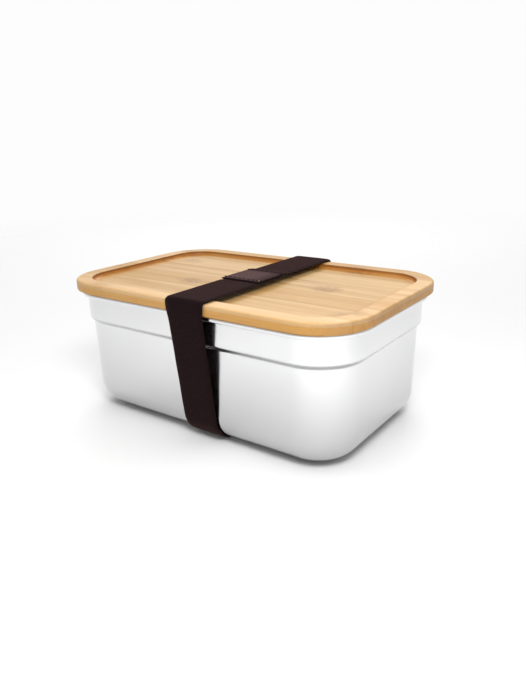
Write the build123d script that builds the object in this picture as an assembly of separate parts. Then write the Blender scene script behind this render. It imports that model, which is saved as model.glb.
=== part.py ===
from build123d import *
import os
from math import atan2, cos, hypot, sin

# Steel lunch box with a two-ply bamboo lid, a lift-out divider and an elastic band.
# +X runs along the long side, +Z is up. The origin is on the surface the box stands on,
# under the middle of the box. The band runs under the tray, so the box stands on it.
# Every length is in millimetres.

# ---- driving dimensions ----

# Lid, flange outline and thickness
LID_LENGTH = 190.0
LID_WIDTH = 122.2
LID_CORNER = 28.4
FLANGE_THICKNESS = 6.0
FLANGE_TOP_ROUND = 1.3
FLANGE_BOTTOM_ROUND = 0.8

# Shallow tray milled into the top of the lid
RECESS_RIM = 9.35
RECESS_DEPTH = 2.7
RECESS_FLOOR_ROUND = 1.8
RECESS_EDGE_ROUND = 0.7

# Bamboo planks. The outer two are trimmed, and the ones between them share the rest evenly.
TOP_PLANKS = 6
FRONT_PLANK = 14.1
BACK_PLANK = 20.1
UNDER_PLY_THICKNESS = 6.0
UNDER_PLY_ROUND = 0.8

# Seal in the side of the under ply
SEAL_GROOVE_HEIGHT = 2.8
SEAL_GROOVE_DEPTH = 2.0
SEAL_LIP_THICKNESS = 0.4
SEAL_WEB_OFFSET = 0.1

# Pressed steel tray
SHEET = 0.6
TRAY_HEIGHT = 71.3
LID_OVERHANG = 1.82
CURL_PROJECTION = 2.83
CURL_HEIGHT = 2.8
CURL_TOP_ROUND = 1.25
CURL_BOTTOM_ROUND = 1.0
CURL_TIP_GAP = 0.5
COLLAR_CORNER = 26.2
STEP_HEIGHT = 54.3
STEP_WIDTH = 2.0
STEP_RISE = 2.4
STEP_ROUND = 1.1
WALL_DRAFT = 0.94
BASE_ROUND = 14.0
BASE_FLAT_LAP = 1.0

# Divider: a steel plate in a soft edging
DIVIDER_X = 30.0
DIVIDER_HEIGHT = 48.0
DIVIDER_PLATE = 0.8
DIVIDER_TOP_ROUND = 6.0
EDGING_WIDTH = 4.0
EDGING_WALL = 1.5
EDGING_DEPTH = 4.0
EDGING_BELOW_TOP = 8.0

# Elastic band
BAND_WIDTH = 25.0
BAND_THICKNESS = 1.4
BAND_X = 5.9
BAND_END_FRONT_Y = -17.0
BAND_END_BACK_Y = 9.0
BAND_RAMP = 3.0

# Thread that joins the two ends of the band
STITCH_LENGTH = 1.9
STITCH_WIDTH = 0.6
STITCH_HEIGHT = 0.3
STITCHES_IN_ROW = 8
STITCH_ROW_INSET = 2.4

# Clearances
LID_SEAT_GAP = 0.3
PLUG_CLEARANCE = 1.2
SEAL_CLEARANCE = 0.3
BAND_GAP = 0.3
DIVIDER_CLEARANCE = 0.3

# ---- sizes that follow from them ----

BASE_Z = BAND_THICKNESS + BAND_GAP
RIM_Z = BASE_Z + TRAY_HEIGHT
LID_Z = RIM_Z + LID_SEAT_GAP
LID_TOP_Z = LID_Z + FLANGE_THICKNESS
PLUG_Z = LID_Z - UNDER_PLY_THICKNESS

LID_HALF_X = LID_LENGTH / 2
LID_HALF_Y = LID_WIDTH / 2

# The collar's outer face is the line that every wall section is drawn from.
COLLAR_INSET = LID_OVERHANG + CURL_PROJECTION
COLLAR_HALF_X = LID_HALF_X - COLLAR_INSET
COLLAR_HALF_Y = LID_HALF_Y - COLLAR_INSET

# Offsets outwards from that line
WAIST_U = -STEP_WIDTH
FOOT_U = WAIST_U - WALL_DRAFT
PLUG_U = -SHEET - PLUG_CLEARANCE
SEAL_LIP_U = -SHEET - SEAL_CLEARANCE


# ---- shared shapes ----


def plan(outwards):
    """Rounded rectangle that lies some way outwards from the collar's outer face."""
    length = 2 * (COLLAR_HALF_X + outwards)
    width = 2 * (COLLAR_HALF_Y + outwards)
    return RectangleRounded(length, width, COLLAR_CORNER + outwards)


def ring(section):
    """Carries a section round the box; its first axis points outwards, its second up."""
    centre_x = COLLAR_HALF_X - COLLAR_CORNER
    centre_y = COLLAR_HALF_Y - COLLAR_CORNER
    upright = Plane.XZ * section
    corner = revolve(Pos(COLLAR_CORNER, 0, 0) * upright, Axis.Z, 90)
    corner = Pos(centre_x, centre_y, 0) * corner
    end = extrude(Pos(COLLAR_HALF_X, 0, 0) * upright, centre_y, dir=(0, 1, 0), both=True)
    side = Pos(0, COLLAR_HALF_Y, 0) * Rot(0, 0, 90) * upright
    side = extrude(side, centre_x, dir=(1, 0, 0), both=True)
    right = corner + mirror(corner, Plane.XZ) + end
    return right + mirror(right, Plane.YZ) + side + mirror(side, Plane.XZ)


def outline(points, radii):
    """Closed face from corner points and one radius for each corner."""
    return make_face(FilletPolyline(points, radius=radii, close=True))


def slab(low, high, z_low, z_high):
    """Block over the whole length of the box between two depths and two heights."""
    size_x = 4 * LID_LENGTH
    block = Box(size_x, high - low, z_high - z_low)
    return Pos(0, (low + high) / 2, (z_low + z_high) / 2) * block


# ---- tray ----


def sheet_section(points, radii, thickness):
    """Section of a bent sheet: the points are its left face, the other face is to the right."""
    ends = [points[0], *points, points[-1]]
    right_points, right_radii = [], []
    for i, (x, y) in enumerate(points):
        before = right_normal(ends[i], ends[i + 1]) if i else None
        after = right_normal(ends[i + 1], ends[i + 2]) if i < len(points) - 1 else None
        n1, n2 = before or after, after or before
        scale = thickness / (1 + n1[0] * n2[0] + n1[1] * n2[1])
        right_points.append((x + scale * (n1[0] + n2[0]), y + scale * (n1[1] + n2[1])))
        if before and after:
            turn = n1[0] * n2[1] - n1[1] * n2[0]
            right_radii.append(radii[i - 1] + (thickness if turn > 0 else -thickness))
    corners = [*points, *reversed(right_points)]
    rounds = [0, *radii, 0, 0, *reversed(right_radii), 0]
    return outline(corners, rounds)


def right_normal(start, end):
    """Unit vector to the right of the way from one point to the next."""
    dx, dy = end[0] - start[0], end[1] - start[1]
    length = hypot(dx, dy)
    return dy / length, -dx / length


def wall_section():
    """Section of the sheet, from the base, up over the step, to the tip of the curl."""
    low = STEP_HEIGHT - STEP_RISE / 2
    high = STEP_HEIGHT + STEP_RISE / 2
    curl_low = TRAY_HEIGHT - CURL_HEIGHT
    food_side = [
        (FOOT_U - BASE_ROUND - BASE_FLAT_LAP, SHEET),
        (FOOT_U - SHEET, SHEET),
        (WAIST_U - SHEET, low),
        (-SHEET, high),
        (-SHEET, TRAY_HEIGHT),
        (CURL_PROJECTION, TRAY_HEIGHT),
        (CURL_PROJECTION, curl_low),
        (CURL_TIP_GAP, curl_low),
    ]
    bends = [
        BASE_ROUND - SHEET,
        STEP_ROUND + SHEET,
        STEP_ROUND,
        CURL_TOP_ROUND,
        CURL_TOP_ROUND,
        CURL_BOTTOM_ROUND,
    ]
    return sheet_section(food_side, bends, SHEET)


def base_round_u():
    """Offset of the middle of the round at the base, which touches the leaning wall."""
    inner_round = BASE_ROUND - SHEET
    lean = atan2(WALL_DRAFT, STEP_HEIGHT - STEP_RISE / 2 - SHEET)
    return FOOT_U - SHEET + inner_round * (sin(lean) - 1) / cos(lean)


def tray_shell():
    """Deep drawn tray: wall, step, collar and curled rim, with its flat base."""
    base = extrude(plan(FOOT_U - BASE_ROUND - BASE_FLAT_LAP), SHEET)
    return Pos(0, 0, BASE_Z) * (ring(wall_section()) + base)


# ---- lid ----


def top_ply():
    """Flange board with rounded edges and the shallow tray in its top."""
    blank = extrude(RectangleRounded(LID_LENGTH, LID_WIDTH, LID_CORNER), FLANGE_THICKNESS)
    blank = fillet(blank.edges().group_by(Axis.Z)[-1], FLANGE_TOP_ROUND)
    blank = fillet(blank.edges().group_by(Axis.Z)[0], FLANGE_BOTTOM_ROUND)
    length = LID_LENGTH - 2 * RECESS_RIM
    width = LID_WIDTH - 2 * RECESS_RIM
    recess = RectangleRounded(length, width, LID_CORNER - RECESS_RIM)
    cutter = extrude(recess, 2 * RECESS_DEPTH)
    cutter = fillet(cutter.edges().group_by(Axis.Z)[0], RECESS_FLOOR_ROUND)
    board = blank - Pos(0, 0, FLANGE_THICKNESS - RECESS_DEPTH) * cutter
    lip = board.edges().filter_by_position(
        Axis.Z, FLANGE_THICKNESS - 0.01, FLANGE_THICKNESS + 0.01
    )
    inner = [edge for edge in lip if inside_recess(edge, length, width)]
    board = fillet(inner, RECESS_EDGE_ROUND)
    return Pos(0, 0, LID_Z) * board


def inside_recess(edge, length, width):
    """True for an edge of the recess's own outline."""
    middle = edge.center()
    reach = RECESS_RIM / 4
    return abs(middle.X) < length / 2 + reach and abs(middle.Y) < width / 2 + reach


def seal_groove_z():
    """Lowest and highest level of the groove, midway up the under ply."""
    middle = PLUG_Z + UNDER_PLY_THICKNESS / 2
    half = SEAL_GROOVE_HEIGHT / 2
    return middle - half, middle + half


def under_ply():
    """Board that drops into the collar, with the groove for the seal in its side."""
    board = extrude(plan(PLUG_U), UNDER_PLY_THICKNESS)
    board = fillet(board.edges().group_by(Axis.Z)[0], UNDER_PLY_ROUND)
    low, high = seal_groove_z()
    groove = extrude(plan(PLUG_U + 1) - plan(PLUG_U - SEAL_GROOVE_DEPTH), high - low)
    return Pos(0, 0, PLUG_Z) * board - Pos(0, 0, low) * groove


def seal():
    """Soft ring in the groove with two lips that meet the collar's inner face."""
    low, high = seal_groove_z()
    root = PLUG_U - SEAL_GROOVE_DEPTH
    web = PLUG_U + SEAL_WEB_OFFSET
    rise = (SEAL_GROOVE_HEIGHT - 2 * SEAL_LIP_THICKNESS) / 5
    section = Polyline(
        (root, low),
        (PLUG_U, low),
        (SEAL_LIP_U, low + rise),
        (SEAL_LIP_U, low + rise + SEAL_LIP_THICKNESS),
        (web, low + rise + 2 * SEAL_LIP_THICKNESS),
        (web, high - rise - SEAL_LIP_THICKNESS),
        (SEAL_LIP_U, high - SEAL_LIP_THICKNESS),
        (SEAL_LIP_U, high),
        (root, high),
        close=True,
    )
    return ring(make_face(section))


def top_seams():
    """Depths of the glue lines of the top ply, front to back."""
    first = FRONT_PLANK - LID_HALF_Y
    last = LID_HALF_Y - BACK_PLANK
    pitch = (last - first) / (TOP_PLANKS - 2)
    return [first + pitch * i for i in range(TOP_PLANKS - 1)]


def under_seams():
    """Glue lines of the under ply, midway between those of the top ply."""
    seams = top_seams()
    return [(a + b) / 2 for a, b in zip(seams, seams[1:])]


def planks(board, seams):
    """Splits a board along X into glued planks, front to back."""
    edges = [-LID_WIDTH, *seams, LID_WIDTH]
    return [board & slab(a, b, 0, 2 * LID_TOP_Z) for a, b in zip(edges, edges[1:])]


# ---- divider ----


def divider_outline(inset, top_z):
    """Shape of the tray's inside across its length, drawn in by an inset, up to a level."""
    gap = DIVIDER_CLEARANCE + inset
    low = STEP_HEIGHT - STEP_RISE / 2
    slope = (WAIST_U - FOOT_U) / low
    foot = COLLAR_HALF_Y + FOOT_U - SHEET - gap
    floor = SHEET + gap
    half_low = foot + slope * floor
    half_top = foot + slope * top_z
    round_low = BASE_ROUND - SHEET - gap
    corners = [(-half_low, floor), (half_low, floor), (half_top, top_z), (-half_top, top_z)]
    return corners, round_low


def divider_plate():
    """Steel sheet with large rounded top corners."""
    corners, round_low = divider_outline(EDGING_WALL, SHEET + DIVIDER_HEIGHT)
    radii = [round_low, round_low, DIVIDER_TOP_ROUND, DIVIDER_TOP_ROUND]
    plate = extrude(Plane.YZ * outline(corners, radii), DIVIDER_PLATE / 2, both=True)
    return Pos(DIVIDER_X, 0, BASE_Z) * plate


def divider_edging(plate):
    """Soft channel round the bottom and sides of the plate."""
    top_z = SHEET + DIVIDER_HEIGHT - EDGING_BELOW_TOP
    corners, round_low = divider_outline(0, top_z)
    outer = outline(corners, [round_low, round_low, EDGING_WALL / 2, EDGING_WALL / 2])
    corners, round_low = divider_outline(EDGING_DEPTH, top_z + EDGING_DEPTH)
    inner = outline(corners, [round_low, round_low, EDGING_WALL / 2, EDGING_WALL / 2])
    channel = extrude(Plane.YZ * (outer - inner), EDGING_WIDTH / 2, both=True)
    return Pos(DIVIDER_X, 0, BASE_Z) * channel - plate


# ---- elastic band ----


def band_inner_outline():
    """Inner face of the band: over the lid, straight down to the base's round, and under."""
    low = BASE_Z - BAND_GAP
    high = LID_TOP_Z + BAND_GAP
    side = LID_HALF_Y + BAND_GAP
    lip = LID_Z + FLANGE_BOTTOM_ROUND
    wrap = BASE_ROUND + BAND_GAP
    round_y = COLLAR_HALF_Y + base_round_u()
    round_z = BASE_Z + BASE_ROUND
    # The straight span leaves the lid's lower edge and touches the round at the base.
    reach = hypot(side - round_y, lip - round_z)
    lean = atan2(side - round_y, lip - round_z) - wrap_angle(wrap, reach)
    foot = side - (lip - low) * sin(lean) / cos(lean)
    corners = [(-foot, low), (foot, low), (side, lip), (side, high), (-side, high), (-side, lip)]
    edge = FLANGE_TOP_ROUND + BAND_GAP
    lower_edge = FLANGE_BOTTOM_ROUND + BAND_GAP
    return outline(corners, [wrap, wrap, lower_edge, edge, edge, lower_edge])


def wrap_angle(radius, reach):
    """Angle at a point between a circle's centre and its tangent."""
    return atan2(radius, (reach * reach - radius * radius) ** 0.5)


def across(section):
    """Gives a section of the band its width."""
    return Pos(BAND_X, 0, 0) * extrude(Plane.YZ * section, BAND_WIDTH / 2, both=True)


def band_pieces():
    """The band, cut where it stops stretching and at its sewn overlap."""
    inner = band_inner_outline()
    loop = across(offset(inner, BAND_THICKNESS) - inner)
    far = LID_WIDTH
    hold = BASE_Z + BASE_ROUND
    top = loop & slab(-far, far, LID_Z, 2 * LID_TOP_Z)
    return {
        "strap_under_run": loop & slab(-far, far, -BASE_ROUND, hold),
        "strap_front_span": loop & slab(-far, 0, hold, LID_Z),
        "strap_back_span": loop & slab(0, far, hold, LID_Z),
        "strap_top_front_run": top & slab(-far, BAND_END_BACK_Y, LID_Z, 2 * LID_TOP_Z),
        "strap_top_back_run": back_run(top, far),
        "strap_stitches": stitches(),
    }


def overlap_top_z():
    """Upper face of the doubled part of the band."""
    return LID_TOP_Z + BAND_GAP + 2 * BAND_THICKNESS


def back_run(top, far):
    """The end that lies on top: level, up a short ramp and on over the lower end."""
    low = LID_TOP_Z + BAND_GAP
    middle = low + BAND_THICKNESS
    high = overlap_top_z()
    ramp_end = BAND_END_BACK_Y + BAND_RAMP
    lean = BAND_THICKNESS / 4
    section = Polyline(
        (ramp_end, low),
        (BAND_END_BACK_Y, middle),
        (BAND_END_FRONT_Y, middle),
        (BAND_END_FRONT_Y, high),
        (BAND_END_BACK_Y + lean, high),
        (ramp_end + lean, middle),
        (ramp_end + lean, low),
        close=True,
    )
    level = top & slab(ramp_end, far, LID_Z, 2 * LID_TOP_Z)
    return level + across(make_face(section))


def stitches():
    """Two rows of thread across the doubled part, one near each end."""
    stitch = Box(STITCH_LENGTH, STITCH_WIDTH, STITCH_HEIGHT)
    stitch = fillet(stitch.edges().filter_by(Axis.Z), STITCH_WIDTH / 2.1)
    pitch = BAND_WIDTH / STITCHES_IN_ROW
    z = overlap_top_z() + STITCH_HEIGHT / 2
    rows = [BAND_END_FRONT_Y + STITCH_ROW_INSET, BAND_END_BACK_Y - STITCH_ROW_INSET]
    first = BAND_X - BAND_WIDTH / 2 + pitch / 2
    places = [(first + pitch * i, y) for y in rows for i in range(STITCHES_IN_ROW)]
    return Compound([Pos(x, y, z) * stitch for x, y in places])


# ---- the whole box ----


def lunch_box():
    """Every piece by its name."""
    pieces = {"tray_shell": tray_shell()}
    for number, plank in enumerate(planks(top_ply(), top_seams()), 1):
        pieces[f"lid_top_plank_{number}"] = plank
    for number, plank in enumerate(planks(under_ply(), under_seams()), 1):
        pieces[f"lid_under_plank_{number}"] = plank
    pieces["lid_seal"] = seal()
    pieces["divider_plate"] = divider_plate()
    pieces["divider_edging"] = divider_edging(pieces["divider_plate"])
    pieces.update(band_pieces())
    return pieces


os.makedirs("parts", exist_ok=True)
for node, shape in lunch_box().items():
    export_step(shape, f"parts/{node}.step")
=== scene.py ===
import math
import bmesh
import bpy
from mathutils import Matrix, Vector


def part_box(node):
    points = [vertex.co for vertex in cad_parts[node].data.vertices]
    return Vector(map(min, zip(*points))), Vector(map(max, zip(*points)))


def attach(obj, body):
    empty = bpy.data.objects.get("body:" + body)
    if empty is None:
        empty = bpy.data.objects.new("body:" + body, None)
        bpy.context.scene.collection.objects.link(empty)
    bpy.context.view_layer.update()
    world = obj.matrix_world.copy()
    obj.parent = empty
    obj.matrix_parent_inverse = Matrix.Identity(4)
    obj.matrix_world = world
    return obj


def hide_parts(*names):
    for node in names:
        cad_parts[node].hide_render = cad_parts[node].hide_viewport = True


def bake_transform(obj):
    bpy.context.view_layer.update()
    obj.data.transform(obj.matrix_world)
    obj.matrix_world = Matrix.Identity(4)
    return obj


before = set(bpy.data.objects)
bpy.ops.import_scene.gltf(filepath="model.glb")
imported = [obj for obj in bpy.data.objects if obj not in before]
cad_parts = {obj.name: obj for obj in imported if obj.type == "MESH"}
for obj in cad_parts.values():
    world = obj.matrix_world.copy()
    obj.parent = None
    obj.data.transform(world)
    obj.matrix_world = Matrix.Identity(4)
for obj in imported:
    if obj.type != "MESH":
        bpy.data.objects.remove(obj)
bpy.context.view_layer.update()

# Steel lunch box with a bamboo lid and an elastic band. +X runs along the long side, the
# front is towards -Y, and the box stands at z = 0. Lengths in metres unless a name ends in _mm.
MM = 0.001

# ---- sizes, from the frame where it holds them ----

LID_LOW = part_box("lid_top_plank_1")[0].z
LID_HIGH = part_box("lid_top_plank_1")[1].z
LID_HALF_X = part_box("lid_top_plank_3")[1].x
LID_HALF_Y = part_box("lid_top_plank_6")[1].y
LID_CORNER = 28.4 * MM
LID_TOP_ROUND = 1.3 * MM
LID_BOTTOM_ROUND = 0.8 * MM
RECESS_RIM = 9.35 * MM
RECESS_DEPTH = 2.7 * MM
RECESS_FLOOR_ROUND = 1.8 * MM
RECESS_EDGE_ROUND = 0.7 * MM

PLANK_PITCH = 22 * MM
TOP_FIRST_SEAM = -47 * MM
UNDER_FIRST_SEAM = -36 * MM

UNDER_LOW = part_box("lid_under_plank_1")[0].z
UNDER_HALF_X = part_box("lid_under_plank_3")[1].x
UNDER_HALF_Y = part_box("lid_under_plank_5")[1].y
UNDER_CORNER = 24.4 * MM
UNDER_ROUND = 0.8 * MM
GROOVE_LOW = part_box("lid_seal")[0].z
GROOVE_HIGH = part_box("lid_seal")[1].z
GROOVE_DEPTH = 2.0 * MM

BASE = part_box("tray_shell")[0].z
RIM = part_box("tray_shell")[1].z
SHEET = 0.6 * MM
CURL_REACH = 2.83 * MM
CURL_HEIGHT = 2.8 * MM
CURL_TIP = 0.5 * MM
CURL_TOP_ROUND = 1.25 * MM
CURL_BOTTOM_ROUND = 1.0 * MM
COLLAR_HALF_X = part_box("tray_shell")[1].x - CURL_REACH
COLLAR_HALF_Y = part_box("tray_shell")[1].y - CURL_REACH
COLLAR_CORNER = 26.2 * MM
WAIST_INSET = 2.0 * MM
WALL_DRAFT = 0.94 * MM
STEP = 54.3 * MM
STEP_RISE = 2.4 * MM
STEP_ROUND = 1.1 * MM
BASE_ROUND = 14.0 * MM
BASE_LAP = 1.0 * MM

BAND_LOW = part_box("strap_under_run")[0]
BAND_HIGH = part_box("strap_under_run")[1]
BAND_X = (BAND_LOW.x + BAND_HIGH.x) / 2
BAND_WIDTH = BAND_HIGH.x - BAND_LOW.x
BAND_THICKNESS = 1.4 * MM
BAND_GAP = 0.3 * MM
BAND_UNDER_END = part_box("strap_top_front_run")[1].y
BAND_OVER_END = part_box("strap_top_back_run")[0].y
BAND_RAMP = 6.0 * MM
SEWN_FLAT = 0.82
BAND_NECKING = 0.085
STITCHES_IN_ROW = 8

BAND_HOLD_TOP = LID_HIGH + BAND_GAP

CORNER_STEPS = 28


# ---- modelling helpers ----


def deselect():
    """Nothing selected, in object mode."""
    if bpy.context.object and bpy.context.object.mode == "EDIT":
        bpy.ops.object.mode_set(mode="OBJECT")
    bpy.ops.object.select_all(action="DESELECT")


def edit(piece):
    """Only this piece selected, in edit mode."""
    deselect()
    piece.select_set(True)
    bpy.context.view_layer.objects.active = piece
    bpy.ops.object.mode_set(mode="EDIT")


def named(name):
    """Gives the active object and its mesh a name."""
    piece = bpy.context.object
    piece.name = name
    piece.data.name = name
    return piece


def pick(piece, kind, test):
    """Selects, in edit mode, the points, edges or faces that pass a test."""
    bpy.ops.mesh.select_mode(type={"verts": "VERT", "edges": "EDGE", "faces": "FACE"}[kind])
    bpy.ops.mesh.select_all(action="DESELECT")
    mesh = bmesh.from_edit_mesh(piece.data)
    for element in getattr(mesh, kind):
        if test(element):
            element.select_set(True)
    mesh.select_flush_mode()
    bmesh.update_edit_mesh(piece.data)


def apply_modifier(piece, kind, **settings):
    """Adds a modifier, sets it and applies it."""
    deselect()
    piece.select_set(True)
    bpy.context.view_layer.objects.active = piece
    modifier = piece.modifiers.new(kind.lower(), kind)
    for key, value in settings.items():
        setattr(modifier, key, value)
    bpy.ops.object.modifier_apply(modifier=modifier.name)


def finish_surface(piece, angle=35):
    """Smooth rounds, crisp corners, and flats that stay flat."""
    deselect()
    piece.select_set(True)
    bpy.context.view_layer.objects.active = piece
    bpy.ops.object.shade_smooth_by_angle(angle=math.radians(angle))
    apply_modifier(piece, "WEIGHTED_NORMAL", mode="FACE_AREA", weight=50, keep_sharp=True)


def face_outwards(piece):
    """Merges doubled points and turns every face outwards."""
    edit(piece)
    bpy.ops.mesh.select_all(action="SELECT")
    bpy.ops.mesh.remove_doubles(threshold=2e-6)
    bpy.ops.mesh.normals_make_consistent(inside=False)
    deselect()


def draw_chain(name, points, rounds, steps):
    """Draws a chain of edges in the plane y = 0, point by point, and rounds its corners."""
    deselect()
    bpy.ops.mesh.primitive_plane_add(size=MM)
    piece = named(name)
    bpy.ops.object.mode_set(mode="EDIT")
    bpy.ops.mesh.select_all(action="SELECT")
    bpy.ops.mesh.merge(type="CENTER")
    bpy.ops.transform.translate(value=(points[0][0], 0, points[0][1]))
    for start, end in zip(points, points[1:]):
        step = (end[0] - start[0], 0, end[1] - start[1])
        bpy.ops.mesh.extrude_region_move(TRANSFORM_OT_translate={"value": step})
    corners = zip(points, points[1:], points[2:], rounds, steps)
    for before, corner, after, radius, count in corners:
        way_in = Vector((corner[0] - before[0], corner[1] - before[1]))
        way_out = Vector((after[0] - corner[0], after[1] - corner[1]))
        trim = radius * math.tan(way_in.angle(way_out) / 2)
        place = Vector((corner[0], 0, corner[1]))
        pick(piece, "verts", lambda v: (v.co - place).length < 1e-6)
        bpy.ops.mesh.bevel(offset=trim, segments=count, affect="VERTICES")
    return piece


def carry_round(piece, half_x, half_y, corner):
    """Spins a chain round one corner, draws it along the sides and mirrors the quarter."""
    centre_x, centre_y = half_x - corner, half_y - corner
    bpy.ops.mesh.select_all(action="SELECT")
    bpy.ops.transform.translate(value=(half_x, centre_y, 0))
    bpy.ops.mesh.select_all(action="SELECT")
    turn = (0, 0, 1)
    bpy.ops.mesh.spin(
        steps=CORNER_STEPS, angle=-math.pi / 2, center=(centre_x, centre_y, 0), axis=turn
    )
    pick(piece, "verts", lambda v: abs(v.co.x - centre_x) < 1e-6)
    bpy.ops.mesh.extrude_region_move(TRANSFORM_OT_translate={"value": (-centre_x, 0, 0)})
    pick(piece, "verts", lambda v: abs(v.co.y - centre_y) < 1e-6)
    bpy.ops.mesh.extrude_region_move(TRANSFORM_OT_translate={"value": (0, -centre_y, 0)})
    deselect()
    apply_modifier(piece, "MIRROR", use_axis=(True, True, False), merge_threshold=1e-6)


# ---- tray ----


def make_tray():
    """Pressed tray: round base, leaning wall, step, collar and a rolled rim."""
    foot = -WAIST_INSET - WALL_DRAFT
    low, high = BASE + STEP - STEP_RISE / 2, BASE + STEP + STEP_RISE / 2
    curl = RIM - CURL_HEIGHT
    floor = BASE + SHEET
    points = [
        (foot - BASE_ROUND - BASE_LAP, floor),
        (foot - SHEET, floor),
        (-WAIST_INSET - SHEET, low),
        (-SHEET, high),
        (-SHEET, RIM),
        (CURL_REACH, RIM),
        (CURL_REACH, curl),
        (CURL_TIP, curl),
    ]
    rounds = [
        BASE_ROUND - SHEET,
        STEP_ROUND + SHEET,
        STEP_ROUND,
        CURL_TOP_ROUND,
        CURL_TOP_ROUND,
        CURL_BOTTOM_ROUND,
    ]
    tray = draw_chain("tray", points, rounds, [14, 6, 6, 7, 7, 6])
    carry_round(tray, COLLAR_HALF_X, COLLAR_HALF_Y, COLLAR_CORNER)
    edit(tray)
    pick(tray, "edges", lambda e: e.is_boundary and e.verts[0].co.z < floor + 1e-5)
    bpy.ops.mesh.edge_face_add()
    bpy.ops.mesh.inset(thickness=5 * MM)
    bpy.ops.mesh.select_all(action="SELECT")
    bpy.ops.mesh.normals_make_consistent(inside=False)
    mesh = bmesh.from_edit_mesh(tray.data)
    base_face = min(mesh.faces, key=lambda f: f.calc_center_median().xy.length)
    if base_face.normal.z < 0:
        bpy.ops.mesh.flip_normals()
    deselect()
    apply_modifier(tray, "SOLIDIFY", thickness=SHEET, offset=-1, use_even_offset=True)
    finish_surface(tray)
    return tray


# ---- lid ----


def rounded_board(name, half_x, half_y, corner, low):
    """A flat face with four round corners, left selected in edit mode."""
    deselect()
    bpy.ops.mesh.primitive_plane_add(size=2, location=(0, 0, low))
    board = named(name)
    board.scale = (half_x, half_y, 1)
    bpy.ops.object.transform_apply(location=True, rotation=False, scale=True)
    bpy.ops.object.mode_set(mode="EDIT")
    bpy.ops.mesh.select_all(action="SELECT")
    bpy.ops.mesh.bevel(offset=corner, segments=CORNER_STEPS, affect="VERTICES")
    bpy.ops.mesh.select_all(action="SELECT")
    return board


def raise_by(height):
    """Draws the selection out upwards."""
    bpy.ops.mesh.extrude_region_move(TRANSFORM_OT_translate={"value": (0, 0, height)})


def level_edges(piece, level, test=None):
    """Selects the edges that lie at one level and, if given, pass a test on their middle."""

    def fits(edge):
        a, b = edge.verts[0].co, edge.verts[1].co
        flat = abs(a.z - level) < 1e-6 and abs(b.z - level) < 1e-6
        return flat and (test is None or test((a + b) / 2))

    pick(piece, "edges", fits)


def on_outline(point, half_x, half_y, corner):
    """True where a point lies on a rounded rectangle."""
    dx = max(abs(point.x) - (half_x - corner), 0)
    dy = max(abs(point.y) - (half_y - corner), 0)
    return abs(math.hypot(dx, dy) - corner) < 0.2 * MM


def make_top_board():
    """The whole flange board, with its edges rounded and its shallow tray cut."""
    board = rounded_board("top_board", LID_HALF_X, LID_HALF_Y, LID_CORNER, LID_LOW)
    raise_by(LID_HIGH - LID_LOW)
    pick(board, "faces", lambda f: f.calc_center_median().z > LID_HIGH - 1e-6)
    bpy.ops.mesh.inset(thickness=RECESS_RIM)
    raise_by(-RECESS_DEPTH)
    inner_x, inner_y = LID_HALF_X - RECESS_RIM, LID_HALF_Y - RECESS_RIM
    inner_corner = LID_CORNER - RECESS_RIM
    rim_inside = lambda p: on_outline(p, inner_x, inner_y, inner_corner)
    rim_outside = lambda p: on_outline(p, LID_HALF_X, LID_HALF_Y, LID_CORNER)
    level_edges(board, LID_HIGH - RECESS_DEPTH, rim_inside)
    bpy.ops.mesh.bevel(offset=RECESS_FLOOR_ROUND, segments=8, affect="EDGES")
    level_edges(board, LID_HIGH, rim_inside)
    bpy.ops.mesh.bevel(offset=RECESS_EDGE_ROUND, segments=5, affect="EDGES")
    level_edges(board, LID_HIGH, rim_outside)
    bpy.ops.mesh.bevel(offset=LID_TOP_ROUND, segments=6, affect="EDGES")
    level_edges(board, LID_LOW, rim_outside)
    bpy.ops.mesh.bevel(offset=LID_BOTTOM_ROUND, segments=5, affect="EDGES")
    face_outwards(board)
    return board


def make_under_board():
    """The board that drops into the collar, with the groove for the seal."""
    board = rounded_board("under_board", UNDER_HALF_X, UNDER_HALF_Y, UNDER_CORNER, UNDER_LOW)
    raise_by(GROOVE_LOW - UNDER_LOW)
    raise_by(GROOVE_HIGH - GROOVE_LOW)
    raise_by(LID_LOW - GROOVE_HIGH)
    middle = (GROOVE_LOW + GROOVE_HIGH) / 2
    pick(board, "faces", lambda f: abs(f.calc_center_median().z - middle) < 1e-5)
    bpy.ops.mesh.extrude_region_shrink_fatten(
        TRANSFORM_OT_shrink_fatten={"value": -GROOVE_DEPTH, "use_even_offset": True}
    )
    level_edges(board, UNDER_LOW)
    bpy.ops.mesh.bevel(offset=UNDER_ROUND, segments=5, affect="EDGES")
    face_outwards(board)
    return board


def saw_plank(board, name, front, back):
    """A copy of the board, cut off along X at both sides of one plank."""
    deselect()
    board.select_set(True)
    bpy.context.view_layer.objects.active = board
    bpy.ops.object.duplicate()
    plank = named(name)
    bpy.ops.object.mode_set(mode="EDIT")
    cuts = [(front, "clear_inner"), (back, "clear_outer")]
    for place, side in cuts:
        if abs(place) < LID_HALF_Y - 1e-4:
            bpy.ops.mesh.select_all(action="SELECT")
            bpy.ops.mesh.bisect(
                plane_co=(0, place, 0), plane_no=(0, 1, 0), use_fill=True, **{side: True}
            )
    deselect()
    finish_surface(plank)
    return plank


def make_planks(board, kind, count):
    """Every plank of one ply, each the stand-in for the CAD node of the same number."""
    planks = []
    for number in range(1, count + 1):
        node = f"lid_{kind}_plank_{number}"
        low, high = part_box(node)
        front = -1 if number == 1 else low.y
        back = 1 if number == count else high.y
        plank = saw_plank(board, f"{kind}_plank_{number}", front, back)
        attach(plank, "lid")
        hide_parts(node)
        planks.append(plank)
    bpy.data.objects.remove(board)
    return planks


# ---- elastic band ----


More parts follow.
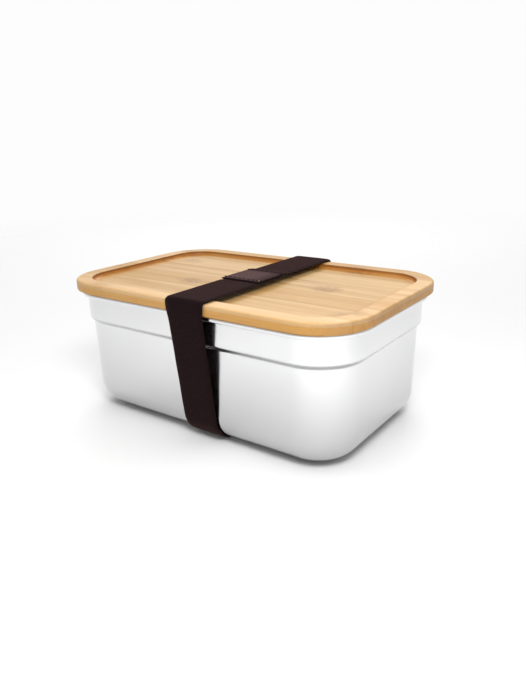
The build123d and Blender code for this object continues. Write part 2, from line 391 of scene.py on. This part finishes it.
def band_path():
    """Stations down the middle of the band, as (y, z, heading), from its under end to its over end."""
    low, high = BASE - BAND_GAP, LID_HIGH + BAND_GAP
    side = LID_HALF_Y + BAND_GAP
    lip = LID_LOW + LID_BOTTOM_ROUND
    lean_wall = math.atan2(WALL_DRAFT, STEP - STEP_RISE / 2 - SHEET)
    foot = COLLAR_HALF_Y - WAIST_INSET - WALL_DRAFT
    inner = BASE_ROUND - SHEET
    centre_y = foot - SHEET + inner * (math.sin(lean_wall) - 1) / math.cos(lean_wall)
    centre_z = BASE + BASE_ROUND
    wrap = BASE_ROUND + BAND_GAP
    dy, dz = side - centre_y, lip - centre_z
    reach = math.hypot(dy, dz)
    lean = math.atan2(dy, dz) - math.atan2(wrap, math.sqrt(reach * reach - wrap * wrap))
    span = math.sqrt(reach * reach - wrap * wrap)
    edge = LID_TOP_ROUND + BAND_GAP
    under_edge = LID_BOTTOM_ROUND + BAND_GAP
    trim = under_edge * math.tan(lean / 2)
    y, z, heading = BAND_UNDER_END, high, math.pi
    stations = [(y, z, heading)]

    def straight(length, step=1.3 * MM):
        nonlocal y, z
        count = max(1, round(length / step))
        for _ in range(count):
            y += math.cos(heading) * length / count
            z += math.sin(heading) * length / count
            stations.append((y, z, heading))

    def bend(radius, angle, step):
        nonlocal y, z, heading
        count = max(2, round(angle / step))
        for _ in range(count):
            turn = angle / count
            chord = 2 * radius * math.sin(turn / 2)
            y += math.cos(heading + turn / 2) * chord
            z += math.sin(heading + turn / 2) * chord
            heading += turn
            stations.append((y, z, heading))

    fine, coarse = math.radians(11), math.radians(5)
    straight(y + side - edge)
    bend(edge, math.pi / 2, fine)
    straight(z - lip - trim)
    bend(under_edge, lean, math.radians(2.6))
    straight(span - trim)
    bend(wrap, math.pi / 2 - lean, coarse)
    straight(2 * abs(y))
    bend(wrap, math.pi / 2 - lean, coarse)
    straight(span - trim)
    bend(under_edge, lean, math.radians(2.6))
    straight(high - edge - z)
    bend(edge, math.pi / 2, fine)
    straight(y - BAND_OVER_END, 0.9 * MM)
    return stations


def smooth(value):
    """Eases from 0 to 1 with level ends."""
    value = min(max(value, 0), 1)
    return value * value * (3 - 2 * value)


def band_section(columns=26):
    """Points round the band's section, as (across from -1 to 1, side), upper side first."""
    spread = [-math.cos(math.pi * i / columns) for i in range(columns + 1)]
    spread = [0.35 * c + 0.65 * (2 * i / columns - 1) for i, c in enumerate(spread)]
    upper = [(across, 1) for across in spread]
    lower = [(across, -1) for across in reversed(spread[1:-1])]
    return upper + lower


def band_stretch(y, z):
    """How narrow the band is pulled: 0 where it lies on the lid, 1 in the spans and underneath."""
    return smooth((LID_HIGH - z) / (14 * MM))


def make_band():
    """The band, woven in one length: one end under the other, right round the box."""
    stations = band_path()
    section = band_section()
    rows = [BAND_OVER_END + 2.4 * MM, BAND_UNDER_END - 2.4 * MM]
    last_top = len(stations) * 2 // 3
    verts, coords, along = [], [], 0
    for i, (y, z, heading) in enumerate(stations):
        if i:
            along += math.hypot(y - stations[i - 1][0], z - stations[i - 1][1])
        over = i > last_top and z > LID_HIGH
        doubled = z > LID_HIGH and BAND_OVER_END - MM < y < BAND_UNDER_END + BAND_RAMP
        climb = smooth((BAND_UNDER_END + BAND_RAMP - y) / BAND_RAMP)
        lift = BAND_THICKNESS * SEWN_FLAT * climb if over else 0
        flat = 1 - (1 - SEWN_FLAT) * climb if doubled else 1
        pinch = sum(math.exp(-(((y - row) / (1.1 * MM)) ** 2)) for row in rows) if doubled else 0
        half = BAND_WIDTH / 2 * (1 - BAND_NECKING * band_stretch(y, z)) - 0.4 * MM * pinch
        half = min(half + 0.06 * MM * math.sin(along * 310), BAND_WIDTH / 2)
        out_y, out_z = math.sin(heading), -math.cos(heading)
        for across, side in section:
            fat = math.sqrt(max(0, 1 - abs(across) ** 10))
            selvedge = 0.05 * MM * math.exp(-(((abs(across) - 0.93) / 0.04) ** 2))
            dent = 0.12 * MM * pinch if side > 0 and over else 0
            depth = ((BAND_THICKNESS / 2 - 0.05 * MM) * fat + selvedge * fat) * flat - dent
            rise = BAND_THICKNESS * flat / 2 + side * depth
            verts.append((BAND_X + across * half, y + out_y * rise, z + out_z * rise + lift))
            coords.append((across * half, along))
    count = len(section)
    faces = [tuple(range(count))]
    for i in range(len(stations) - 1):
        for j in range(count):
            k = (j + 1) % count
            a, b = i * count, (i + 1) * count
            faces.append((a + j, b + j, b + k, a + k))
    faces.append(tuple(range((len(stations) - 1) * count, len(stations) * count)))
    mesh = bpy.data.meshes.new("band")
    mesh.from_pydata(verts, [], faces)
    uv = mesh.uv_layers.new(name="weave")
    for loop in mesh.loops:
        uv.data[loop.index].uv = coords[loop.vertex_index]
    band = bpy.data.objects.new("band", mesh)
    bpy.context.scene.collection.objects.link(band)
    face_outwards(band)
    deselect()
    band.select_set(True)
    bpy.context.view_layer.objects.active = band
    bpy.ops.object.shade_smooth_by_angle(angle=math.radians(50))
    return band, along


def make_stitches():
    """Two rows of thread through the doubled part of the band."""
    low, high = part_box("strap_stitches")
    top = BAND_HOLD_TOP + 2 * BAND_THICKNESS * SEWN_FLAT - 0.05 * MM
    made = []
    for row in (low.y + 0.3 * MM, high.y - 0.3 * MM):
        for i in range(STITCHES_IN_ROW):
            x = BAND_X + BAND_WIDTH * ((i + 0.5) / STITCHES_IN_ROW - 0.5)
            deselect()
            bpy.ops.mesh.primitive_cylinder_add(
                vertices=12,
                radius=0.27 * MM,
                depth=2.0 * MM,
                location=(x, row, top),
                rotation=(0, math.pi / 2, 0),
            )
            stitch = named("stitch")
            bpy.ops.object.transform_apply(location=True, rotation=True, scale=True)
            bpy.ops.object.mode_set(mode="EDIT")
            bpy.ops.mesh.select_all(action="SELECT")
            bpy.ops.mesh.bevel(offset=0.2 * MM, segments=3, affect="EDGES")
            deselect()
            made.append(stitch)
    for stitch in made:
        stitch.select_set(True)
    bpy.context.view_layer.objects.active = made[0]
    bpy.ops.object.join()
    thread = named("band_thread")
    bpy.ops.object.shade_smooth()
    return thread


# ---- shader effects shared by several finishes ----


def new_group(name, inputs, outputs):
    """An empty shader group with named sockets, given as (name, type, value)."""
    group = bpy.data.node_groups.new(name, "ShaderNodeTree")
    for label, kind, value in inputs:
        socket = group.interface.new_socket(label, in_out="INPUT", socket_type=kind)
        if value is not None:
            socket.default_value = value
    for label, kind in outputs:
        group.interface.new_socket(label, in_out="OUTPUT", socket_type=kind)
    return group, group.nodes.new("NodeGroupInput"), group.nodes.new("NodeGroupOutput")


FLOAT, COLOR, VECTOR = "NodeSocketFloat", "NodeSocketColor", "NodeSocketVector"


class Wiring:
    """Short ways to add nodes to one tree."""

    def __init__(self, tree):
        self.tree = tree

    def set(self, socket, value):
        if isinstance(value, bpy.types.NodeSocket):
            self.tree.links.new(value, socket)
        else:
            socket.default_value = value

    def math(self, operation, a, b=None, c=None, clamp=False):
        node = self.tree.nodes.new("ShaderNodeMath")
        node.operation, node.use_clamp = operation, clamp
        for socket, value in zip(node.inputs, (a, b, c)):
            if value is not None:
                self.set(socket, value)
        return node.outputs[0]

    def vector(self, operation, a, b=None, scale=None):
        node = self.tree.nodes.new("ShaderNodeVectorMath")
        node.operation = operation
        self.set(node.inputs[0], a)
        if b is not None:
            self.set(node.inputs[1], b)
        if scale is not None:
            self.set(node.inputs["Scale"], scale)
        scalar = operation in ("LENGTH", "DOT_PRODUCT", "DISTANCE")
        return node.outputs["Value" if scalar else "Vector"]

    def noise(self, vector, scale=1, detail=3, rough=0.5, warp=0):
        node = self.tree.nodes.new("ShaderNodeTexNoise")
        self.set(node.inputs["Vector"], vector)
        self.set(node.inputs["Scale"], scale)
        node.inputs["Detail"].default_value = detail
        node.inputs["Roughness"].default_value = rough
        node.inputs["Distortion"].default_value = warp
        return node.outputs["Fac"]

    def span(self, value, low, high, to_low=0, to_high=1, smooth=True):
        node = self.tree.nodes.new("ShaderNodeMapRange")
        node.interpolation_type = "SMOOTHSTEP" if smooth else "LINEAR"
        for socket, v in zip(node.inputs, (value, low, high, to_low, to_high)):
            self.set(socket, v)
        return node.outputs[0]

    def mix(self, share, a, b, blend="MIX"):
        node = self.tree.nodes.new("ShaderNodeMix")
        node.data_type, node.blend_type = "RGBA", blend
        self.set(node.inputs["Factor"], share)
        self.set(node.inputs[6], a)
        self.set(node.inputs[7], b)
        return node.outputs[2]

    def parts(self, vector):
        node = self.tree.nodes.new("ShaderNodeSeparateXYZ")
        self.set(node.inputs[0], vector)
        return node.outputs

    def join(self, x, y, z):
        node = self.tree.nodes.new("ShaderNodeCombineXYZ")
        for socket, value in zip(node.inputs, (x, y, z)):
            self.set(socket, value)
        return node.outputs[0]

    def bump(self, height, strength, distance):
        node = self.tree.nodes.new("ShaderNodeBump")
        node.inputs["Strength"].default_value = strength
        node.inputs["Distance"].default_value = distance
        self.set(node.inputs["Height"], height)
        return node.outputs["Normal"]

    def group(self, group, **values):
        node = self.tree.nodes.new("ShaderNodeGroup")
        node.node_tree = group
        for label, value in values.items():
            self.set(node.inputs[label.replace("_", " ")], value)
        return node.outputs


def make_bamboo_grain():
    """Fibres along X, broad tone streaks, one knot, and dots where the fibres end."""
    group, inside, out = new_group(
        "bamboo_grain",
        [
            ("Place", VECTOR, None),
            ("Board", FLOAT, 0.0),
            ("Knot X", FLOAT, 0.0),
            ("Knot Y", FLOAT, 0.0),
            ("Knot Strength", FLOAT, 1.0),
        ],
        [("Tone", FLOAT), ("Fibre", FLOAT), ("Knot", FLOAT), ("Height", FLOAT)],
    )
    w = Wiring(group)
    x, y, z = w.parts(inside.outputs["Place"])
    seed = w.math("MULTIPLY", inside.outputs["Board"], 3.71)
    knot = w.join(inside.outputs["Knot X"], inside.outputs["Knot Y"], 0.0)
    to_knot = w.vector("MULTIPLY", w.vector("SUBTRACT", w.join(x, y, 0.0), knot), (85, 130, 1))
    wobble = w.noise(w.vector("SCALE", inside.outputs["Place"], scale=150), detail=2)
    distance = w.math("ADD", w.vector("LENGTH", to_knot), w.math("MULTIPLY", wobble, 0.9))
    near = w.span(distance, 0.3, 1.7, 1, 0)
    near = w.math("MULTIPLY", near, inside.outputs["Knot Strength"])
    # The fibres swing round the knot a little.
    wiggle = w.noise(w.join(w.math("MULTIPLY", x, 160), seed, 0.0))
    swing = w.math("MULTIPLY", near, w.math("MULTIPLY", wiggle, 0.0022))
    bow = w.math("MULTIPLY", w.noise(w.join(w.math("MULTIPLY", x, 9), seed, 0.0), detail=1), 0.0016)
    y = w.math("ADD", w.math("ADD", y, swing), bow)
    z = w.math("ADD", z, seed)

    def stretched(fx, fy, fz):
        return w.join(w.math("MULTIPLY", x, fx), w.math("MULTIPLY", y, fy), w.math("MULTIPLY", z, fz))

    broad = w.noise(stretched(6, 130, 120), detail=3, rough=0.55)
    lines = w.noise(stretched(26, 1150, 900), detail=2, rough=0.6)
    dashes = w.noise(stretched(85, 2400, 2000), detail=1)
    short = w.math("MULTIPLY", w.span(dashes, 0.62, 0.74), 0.7)
    fibre = w.math("MAXIMUM", w.span(lines, 0.56, 0.74), short)
    specks = w.noise(stretched(300, 2200, 900), detail=2, rough=0.6)
    knot_marks = w.math("MULTIPLY", near, w.span(specks, 0.42, 0.53))
    tone = w.math("ADD", w.span(broad, 0.30, 0.72), w.math("MULTIPLY", near, 0.25), clamp=True)
    hollows = w.math("ADD", w.math("MULTIPLY", fibre, 0.7), knot_marks)
    height = w.math("SUBTRACT", 1.0, hollows, clamp=True)
    for label, value in (("Tone", tone), ("Fibre", fibre), ("Knot", knot_marks), ("Height", height)):
        w.set(out.inputs[label], value)
    return group


def make_weave():
    """Diagonal ribs of a twill crossed by fine yarns, from the band's own coordinates in metres."""
    group, inside, out = new_group(
        "elastic_weave",
        [
            ("Across", FLOAT, 0.0),
            ("Along", FLOAT, 0.0),
            ("Rib Pitch", FLOAT, 0.0016),
            ("Yarn Pitch", FLOAT, 0.0007),
        ],
        [("Height", FLOAT), ("Shade", FLOAT)],
    )
    w = Wiring(group)
    across, along = inside.outputs["Across"], inside.outputs["Along"]
    slant = w.math("ADD", along, w.math("MULTIPLY", across, 0.9))
    coarse = w.join(w.math("MULTIPLY", across, 300), w.math("MULTIPLY", along, 300), 0.0)
    wander = w.noise(coarse, detail=1)
    slant = w.math("ADD", slant, w.math("MULTIPLY", wander, 0.0004))

    def ridges(place, pitch):
        turns = w.math("MULTIPLY", w.math("DIVIDE", place, pitch), math.pi)
        return w.math("ABSOLUTE", w.math("SINE", turns))

    rib = ridges(slant, inside.outputs["Rib Pitch"])
    yarn = ridges(across, inside.outputs["Yarn Pitch"])
    height = w.math("MULTIPLY", w.math("POWER", rib, 0.7), w.span(yarn, 0, 1, 0.7, 1.0))
    fine = w.join(w.math("MULTIPLY", across, 1500), w.math("MULTIPLY", along, 500), 0.0)
    uneven = w.noise(fine, detail=2)
    shade = w.math("MULTIPLY", height, w.span(uneven, 0.25, 0.75, 0.6, 1.0))
    w.set(out.inputs["Height"], height)
    w.set(out.inputs["Shade"], shade)
    return group


def make_handling():
    """Soft smudges and dust that any used surface has."""
    group, inside, out = new_group(
        "handling_marks",
        [("Place", VECTOR, None), ("Size", FLOAT, 0.03)],
        [("Smudge", FLOAT), ("Dust", FLOAT)],
    )
    w = Wiring(group)
    per_size = w.math("DIVIDE", 1.0, inside.outputs["Size"])
    place = w.vector("SCALE", inside.outputs["Place"], scale=per_size)
    w.set(out.inputs["Smudge"], w.span(w.noise(place, detail=4, rough=0.55, warp=0.6), 0.4, 0.68))
    specks = w.noise(w.vector("SCALE", place, scale=38.0), detail=1)
    w.set(out.inputs["Dust"], w.span(specks, 0.7, 0.78))
    return group


bamboo_grain = make_bamboo_grain()
elastic_weave = make_weave()
handling_marks = make_handling()


# ---- finishes ----


def new_finish(name, **constants):
    """A material with its shader's constant sockets set."""
    material = bpy.data.materials.new(name)
    material.use_nodes = True
    shader = material.node_tree.nodes["Principled BSDF"]
    for label, value in constants.items():
        shader.inputs[label.replace("_", " ")].default_value = value
    places = material.node_tree.nodes.new("ShaderNodeTexCoord")
    return material, Wiring(material.node_tree), shader, places


def steel_finish():
    """Pressed stainless sheet: satin sheen, barely visible hairlines, faint waviness, and painted shade
    low on the wall, in the bend under the step and along the base.
    """
    material, w, shader, places = new_finish("drawn_steel", Metallic=1.0)
    place = places.outputs["Object"]
    x, y, z = w.parts(place)
    hair_place = w.join(w.math("MULTIPLY", x, 30), w.math("MULTIPLY", y, 30), w.math("MULTIPLY", z, 5200))
    hair = w.noise(hair_place, detail=3, rough=0.7)
    wave = w.noise(w.vector("SCALE", place, scale=24), detail=1)
    marks = w.group(handling_marks, Place=place, Size=0.045)
    smudge = w.math("MULTIPLY", marks["Smudge"], 0.5)
    tint = w.mix(smudge, (0.82, 0.822, 0.825, 1), (0.785, 0.79, 0.795, 1))
    # Painted shade stands in for reflections of the shaded floor near the box: a dark line in the bend
    # under the step, the wall painted darker from the step towards the base, and a dark line at the very
    # base.
    from_step = w.math("ABSOLUTE", w.math("SUBTRACT", z, BASE + STEP))
    step_shade = w.span(from_step, 0.5 * MM, 1.9 * MM, 1, 0)
    lower = w.span(z, BASE, BASE + STEP, 1, 0, smooth=False)
    # Painted shade: the lower wall darkens towards the base, as a painted reflection of the shaded floor.
    tint = w.mix(lower, tint, (0.49, 0.49, 0.492, 1))
    # Painted dark reflection of the contact shadow, along the bottom 4 mm of the wall.
    tint = w.mix(w.span(z, BASE, BASE + 4 * MM, 0.9, 0), tint, (0.24, 0.24, 0.242, 1))
    # Painted shade: the dark line in the bend under the step.
    tint = w.mix(w.math("MULTIPLY", step_shade, 0.6), tint, (0.30, 0.30, 0.305, 1))
    w.set(shader.inputs["Base Color"], tint)
    rough = w.math("ADD", w.span(hair, 0.2, 0.8, 0.16, 0.18), w.math("MULTIPLY", marks["Smudge"], 0.03))
    w.set(shader.inputs["Roughness"], rough)
    height = w.math("ADD", w.math("MULTIPLY", hair, 0.002), wave)
    w.set(shader.inputs["Normal"], w.bump(height, 0.2, 0.0004))
    return material


def bamboo_finish(name, board, light, dark, knot, first_seam):
    """Oiled bamboo for one plank: its own tone, its own knot, burnt where the cutter ran, and painted
    shade on its upright faces, its inner wall and the floor along that wall.
    """
    material, w, shader, places = new_finish(name, Specular_IOR_Level=0.3)
    place = places.outputs["Object"]
    grain = w.group(
        bamboo_grain,
        Place=place,
        Board=float(board),
        Knot_X=knot[0] * MM,
        Knot_Y=knot[1] * MM,
        Knot_Strength=knot[2],
    )
    colour = w.mix(grain["Tone"], (*light, 1), (*dark, 1))
    fibre_tint = (dark[0] * 0.70, dark[1] * 0.55, dark[2] * 0.36, 1)
    colour = w.mix(w.math("MULTIPLY", grain["Fibre"], 0.38), colour, fibre_tint)
    colour = w.mix(w.math("MULTIPLY", grain["Knot"], 0.8), colour, (0.26, 0.115, 0.035, 1))
    # A thin dark glue line where the plank meets its neighbour.
    px, py, pz = w.parts(place)
    to_seam = w.math("PINGPONG", w.math("SUBTRACT", py, first_seam), PLANK_PITCH / 2)
    unevenness = w.noise(w.join(w.math("MULTIPLY", px, 120), py, pz), detail=2)
    ragged = w.span(unevenness, 0.3, 0.7, 0.14 * MM, 0.34 * MM)
    seam = w.math("SUBTRACT", 1.0, w.math("DIVIDE", to_seam, ragged), clamp=True)
    colour = w.mix(w.math("MULTIPLY", seam, 0.7), colour, (0.27, 0.13, 0.045, 1))
    # Painted shade: upright faces are painted darker than the flat faces, for sides that get less light;
    # the end grain at the X ends turns a warmer brown.
    fx, fy, fz = w.parts(places.outputs["Normal"])
    edge = w.span(w.math("ABSOLUTE", fz), 0.35, 0.95, 1, 0)
    darker = w.mix(1.0, colour, (0.82, 0.85, 0.93, 1), "MULTIPLY")
    colour = w.mix(w.math("MULTIPLY", edge, 0.9), colour, darker)
    ends = w.math("MULTIPLY", edge, w.span(w.math("ABSOLUTE", fx), 0.25, 0.75))
    colour = w.mix(w.math("MULTIPLY", ends, 0.5), colour, (0.36, 0.21, 0.10, 1))
    # The wall of the shallow tray faces inwards. Its darker orange-brown is partly the cutter's burn on
    # the end grain and partly painted shade for a wall turned away from the light, painted darkest along
    # its top.
    inward = w.vector("DOT_PRODUCT", w.join(fx, fy, 0.0), w.vector("NORMALIZE", w.join(px, py, 0.0)))
    burn_and_wall_shade = w.math("MULTIPLY", w.span(inward, -0.1, -0.75), w.span(pz, LID_LOW, LID_LOW + MM))
    burnt_and_shaded_wall = w.mix(grain["Tone"], (0.53, 0.21, 0.03, 1), (0.41, 0.15, 0.02, 1))
    # Painted shade: darkest towards the top of the wall.
    upper = w.span(pz, LID_HIGH - RECESS_DEPTH + 0.6 * MM, LID_HIGH - 0.5 * MM)
    burnt_and_shaded_wall = w.mix(w.math("MULTIPLY", upper, 0.72), burnt_and_shaded_wall, (0.19, 0.062, 0.006, 1))
    colour = w.mix(w.math("MULTIPLY", burn_and_wall_shade, 0.92), colour, burnt_and_shaded_wall)
    # Painted shade and bounced light: the floor along the foot of that wall is painted a deeper orange
    # for a few millimetres.
    reach_x = w.math("SUBTRACT", w.math("ABSOLUTE", px), LID_HALF_X - LID_CORNER)
    reach_y = w.math("SUBTRACT", w.math("ABSOLUTE", py), LID_HALF_Y - LID_CORNER)
    outside = w.join(w.math("MAXIMUM", reach_x, 0.0), w.math("MAXIMUM", reach_y, 0.0), 0.0)
    inside = w.math("MINIMUM", w.math("MAXIMUM", reach_x, reach_y), 0.0)
    to_wall = w.math("ADD", w.vector("LENGTH", outside), inside)
    wall_foot_shade = w.span(to_wall, LID_CORNER - RECESS_RIM - 7 * MM, LID_CORNER - RECESS_RIM)
    floor_level = LID_HIGH - RECESS_DEPTH
    sunk = w.span(pz, floor_level + MM, floor_level + 0.3 * MM)
    wall_foot_shade = w.math("MULTIPLY", wall_foot_shade, sunk)
    # The recess floor is made a little darker than the rim.
    floor_darkening = w.math("MULTIPLY", sunk, w.math("SUBTRACT", 1.0, edge))
    colour = w.mix(floor_darkening, colour, w.mix(1.0, colour, (0.90, 0.90, 0.84, 1), "MULTIPLY"))
    # Painted warm shade along the foot of the wall.
    shaded_orange = w.mix(1.0, colour, (0.95, 0.76, 0.38, 1), "MULTIPLY")
    colour = w.mix(w.math("MULTIPLY", wall_foot_shade, 0.8), colour, shaded_orange)
    w.set(shader.inputs["Base Color"], colour)
    marks = w.group(handling_marks, Place=place, Size=0.03)
    smudge = w.math("MULTIPLY", marks["Smudge"], 0.08)
    rough = w.math("ADD", w.span(grain["Fibre"], 0, 1, 0.36, 0.5), smudge)
    w.set(shader.inputs["Roughness"], rough)
    w.set(shader.inputs["Normal"], w.bump(grain["Height"], 0.25, 0.00012))
    return material


def band_finish(over_start, over_end):
    """Brown woven elastic; where the upper end was flattened and sewn down it is paler and glossier,
    partly the flattened cloth and partly painted sheen.
    """
    material, w, shader, places = new_finish(
        "brown_elastic", Roughness=0.8, Sheen_Weight=0.13, Sheen_Roughness=0.4, Specular_IOR_Level=0.0
    )
    shader.inputs["Sheen Tint"].default_value = (1.0, 0.58, 0.55, 1)
    uv = material.node_tree.nodes.new("ShaderNodeUVMap")
    uv.uv_map = "weave"
    across, along, _ = w.parts(uv.outputs[0])
    weave = w.group(elastic_weave, Across=across, Along=along, Rib_Pitch=0.0017, Yarn_Pitch=0.0007)
    yarn = w.mix(weave["Shade"], (0.003, 0.0018, 0.0022, 1), (0.019, 0.0108, 0.0118, 1))
    # The paler patch colour is partly the flattened, sewn cloth and partly painted sheen.
    sewn_patch_and_sheen = w.mix(weave["Shade"], (0.038, 0.0245, 0.0245, 1), (0.145, 0.093, 0.094, 1))
    past_start = w.span(along, over_start, over_start + 9 * MM)
    before_end = w.span(along, over_end - 1.4 * MM, over_end - 0.4 * MM, 1, 0.1)
    upper = w.math("MULTIPLY", past_start, before_end)
    # Painted sheen: the patch fades across the band towards +X.
    upper = w.math("MULTIPLY", upper, w.span(across, BAND_WIDTH * 0.08, BAND_WIDTH * 0.5, 1, 0.45))
    colour = w.mix(w.math("MULTIPLY", upper, 0.85), yarn, sewn_patch_and_sheen)
    edge = w.span(w.math("ABSOLUTE", across), BAND_WIDTH * 0.455, BAND_WIDTH * 0.485)
    colour = w.mix(w.math("MULTIPLY", edge, 0.5), colour, (0.012, 0.0105, 0.013, 1))
    w.set(shader.inputs["Base Color"], colour)
    w.set(shader.inputs["Roughness"], w.span(upper, 0, 1, 0.8, 0.55))
    w.set(shader.inputs["Normal"], w.bump(weave["Height"], 0.5, 0.00022))
    return material


def thread_finish():
    """Twisted dark thread."""
    material, w, shader, places = new_finish("brown_thread", Roughness=0.75, Specular_IOR_Level=0.1)
    x, y, z = w.parts(places.outputs["Object"])
    twist = w.math("SINE", w.math("MULTIPLY", w.math("ADD", x, w.math("MULTIPLY", y, 1.4)), 9000))
    tone = w.span(twist, -1, 1)
    colour = w.mix(tone, (0.016, 0.009, 0.009, 1), (0.055, 0.034, 0.033, 1))
    # The cut end of the thread, at the right of the front row, is frayed and pale.
    at_right = w.span(x, BAND_X + 11.2 * MM, BAND_X + 11.6 * MM)
    frayed = w.math("MULTIPLY", at_right, w.span(y, -2 * MM, -4 * MM))
    colour = w.mix(frayed, colour, (0.55, 0.43, 0.32, 1))
    w.set(shader.inputs["Base Color"], colour)
    w.set(shader.inputs["Normal"], w.bump(tone, 0.4, 0.0001))
    return material


def silicone_finish():
    """Milky soft silicone with a dry surface."""
    material, w, shader, places = new_finish(
        "milky_silicone",
        Roughness=0.42,
        Subsurface_Weight=0.25,
        Subsurface_Scale=0.002,
        Specular_IOR_Level=0.45,
    )
    shader.inputs["Subsurface Radius"].default_value = (1.0, 0.9, 0.8)
    place = places.outputs["Object"]
    marks = w.group(handling_marks, Place=place, Size=0.012)
    colour = w.mix(marks["Smudge"], (0.72, 0.73, 0.71, 1), (0.66, 0.67, 0.645, 1))
    colour = w.mix(w.math("MULTIPLY", marks["Dust"], 0.5), colour, (0.5, 0.5, 0.48, 1))
    w.set(shader.inputs["Base Color"], colour)
    w.set(shader.inputs["Roughness"], w.span(marks["Smudge"], 0, 1, 0.38, 0.5))
    grain = w.noise(w.vector("SCALE", place, scale=1400), detail=2)
    w.set(shader.inputs["Normal"], w.bump(grain, 0.15, 0.0001))
    return material


def give(piece, material):
    """Puts one finish on a piece, in every slot it has."""
    if not piece.material_slots:
        piece.data.materials.append(material)
    for slot in piece.material_slots:
        slot.material = material


# ---- build ----

steel = steel_finish()
silicone = silicone_finish()

tray = make_tray()
give(tray, steel)
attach(tray, "tray")
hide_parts("tray_shell")

# Each plank has its own pair of tones and its own knot: x, y in mm, strength.
PALE = (0.75, 0.485, 0.235)
STRAW = (0.66, 0.395, 0.155)
HONEY = (0.54, 0.30, 0.095)
TOP_PLANKS = [
    (PALE, STRAW, (-62, -55, 0.5)),
    (PALE, HONEY, (83, -34, 0.7)),
    (STRAW, HONEY, (-30, -16, 1.0)),
    (PALE, HONEY, (47, 6, 1.0)),
    (PALE, STRAW, (-70, 30, 0.7)),
    (STRAW, HONEY, (43, 51, 0.9)),
]
UNDER_PLANKS = [
    (STRAW, HONEY, (30, -42, 0.8)),
    (PALE, STRAW, (-52, -24, 0.9)),
    (STRAW, HONEY, (61, -2, 0.8)),
    (PALE, HONEY, (-12, 20, 1.0)),
    (PALE, STRAW, (70, 44, 0.6)),
]
top_planks = make_planks(make_top_board(), "top", len(TOP_PLANKS))
under_planks = make_planks(make_under_board(), "under", len(UNDER_PLANKS))
first_seams = [TOP_FIRST_SEAM] * len(top_planks) + [UNDER_FIRST_SEAM] * len(under_planks)
made = zip(top_planks + under_planks, TOP_PLANKS + UNDER_PLANKS, first_seams)
for number, (plank, (light, dark, knot), first_seam) in enumerate(made, 1):
    give(plank, bamboo_finish(f"bamboo_{number}", number, light, dark, knot, first_seam))

band, band_length = make_band()
doubled = BAND_UNDER_END - BAND_OVER_END
give(band, band_finish(band_length - doubled - 0.001, band_length))
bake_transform(band)
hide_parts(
    "strap_under_run",
    "strap_front_span",
    "strap_back_span",
    "strap_top_front_run",
    "strap_top_back_run",
)

thread = make_stitches()
give(thread, thread_finish())
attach(thread, "strap_top")
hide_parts("strap_stitches")

give(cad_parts["divider_plate"], steel)
give(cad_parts["divider_edging"], silicone)
give(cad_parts["lid_seal"], silicone)


# ---- stage, light and camera ----


def make_floor():
    """Pale floor that fades into the white surroundings."""
    deselect()
    bpy.ops.mesh.primitive_circle_add(vertices=96, radius=1.2, fill_type="NGON")
    floor = named("floor")
    material, w, shader, places = new_finish("pale_floor", Roughness=0.9, Specular_IOR_Level=0.1)
    place = places.outputs["Object"]
    soft = w.noise(place, scale=1.5, detail=1)
    w.set(shader.inputs["Base Color"], w.mix(soft, (0.93, 0.93, 0.93, 1), (0.945, 0.945, 0.945, 1)))
    w.set(shader.inputs["Alpha"], w.span(w.vector("LENGTH", place), 0.35, 1.1, 1, 0))
    give(floor, material)


def make_light(name, place, aim, size, power):
    """A soft panel that faces a point."""
    lamp = bpy.data.lights.new(name, "AREA")
    lamp.shape = "RECTANGLE"
    lamp.size, lamp.size_y = size
    lamp.energy = power
    holder = bpy.data.objects.new(name, lamp)
    bpy.context.scene.collection.objects.link(holder)
    holder.location = place
    holder.rotation_euler = (Vector(aim) - Vector(place)).to_track_quat("-Z", "Y").to_euler()


def make_world(glow, backdrop):
    """Even white surroundings: one strength lights the scene, the other is what the camera sees."""
    world = bpy.data.worlds.new("studio")
    world.use_nodes = True
    w = Wiring(world.node_tree)
    background = world.node_tree.nodes["Background"]
    background.inputs["Color"].default_value = (1, 1, 1, 1)
    path = world.node_tree.nodes.new("ShaderNodeLightPath")
    w.set(background.inputs["Strength"], w.span(path.outputs["Is Camera Ray"], 0, 1, glow, backdrop))
    bpy.context.scene.world = world


def make_camera(place, aim, roll, lens):
    """Looks down at the lid from the front right corner."""
    data = bpy.data.cameras.new("camera")
    data.sensor_width = 36
    data.lens = lens
    data.clip_start, data.clip_end = 0.01, 50
    camera = bpy.data.objects.new("camera", data)
    bpy.context.scene.collection.objects.link(camera)
    camera.location = Vector(place) * MM
    camera.rotation_euler = ((Vector(aim) - Vector(place))).to_track_quat("-Z", "Y").to_euler()
    camera.rotation_euler.rotate_axis("Z", math.radians(roll))
    bpy.context.scene.camera = camera


make_floor()
make_world(0.55, 0.98)
make_light("top_panel", (-0.2, 0.0, 0.9), (0, 0, 0.05), (0.9, 0.9), 1.9)
make_light("back_panel", (-0.5, 0.85, 0.75), (0, 0, 0.05), (0.9, 0.35), 4.6)
make_light("corner_panel", (0.22, -0.24, 0.34), (0.17, -0.18, 0.0), (0.13, 0.13), 1.12)
make_camera((209.24, -276.25, 156.76), (8.75, -0.2, 36.47), -1.31, 31.66)
bpy.context.scene.view_settings.view_transform = "Standard"
